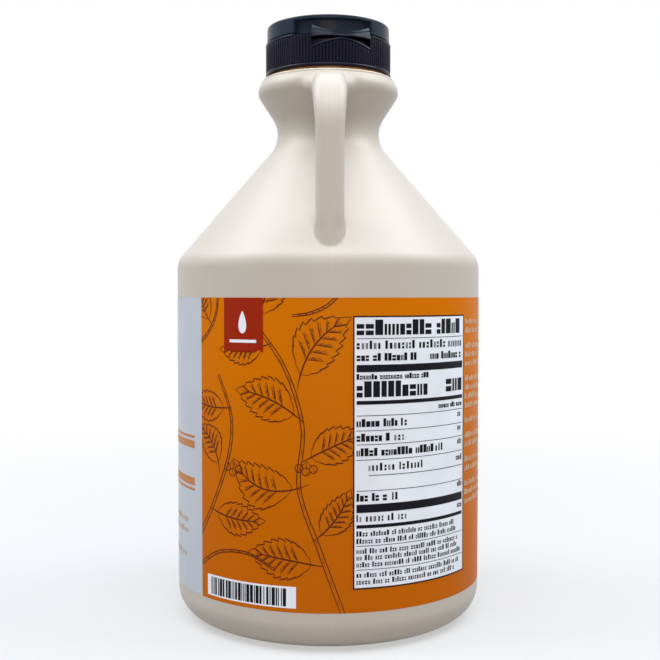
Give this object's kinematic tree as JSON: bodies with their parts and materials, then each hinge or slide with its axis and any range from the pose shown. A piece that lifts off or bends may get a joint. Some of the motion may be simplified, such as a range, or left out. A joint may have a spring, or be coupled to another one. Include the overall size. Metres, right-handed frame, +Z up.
{
  "type": "maple syrup jug",
  "caption": "Round plastic syrup jug with a loop handle, a flared collar, a wrap-around label and a ribbed flip-top cap, filled and shut.",
  "frame": {"origin": "centre of the overall box at the underside of the foot ring, which the jug stands on", "axes": "+Z up along the jug's axis, -Y towards the handle, +X to the right when the handle faces the viewer"},
  "size_m": [0.099, 0.099, 0.1904],
  "materials": {
    "jug": "natural cream polyethylene, satin, faintly see-through, with a moulding seam",
    "label": "printed film in flat colours, slightly glossy",
    "cap": "black moulded polypropylene, softly glossy, ribbed skirt"
  },
  "bodies": {
    "root": {"jug": "jug", "label": "label", "cap": "cap"}
  },
  "joints": []
}
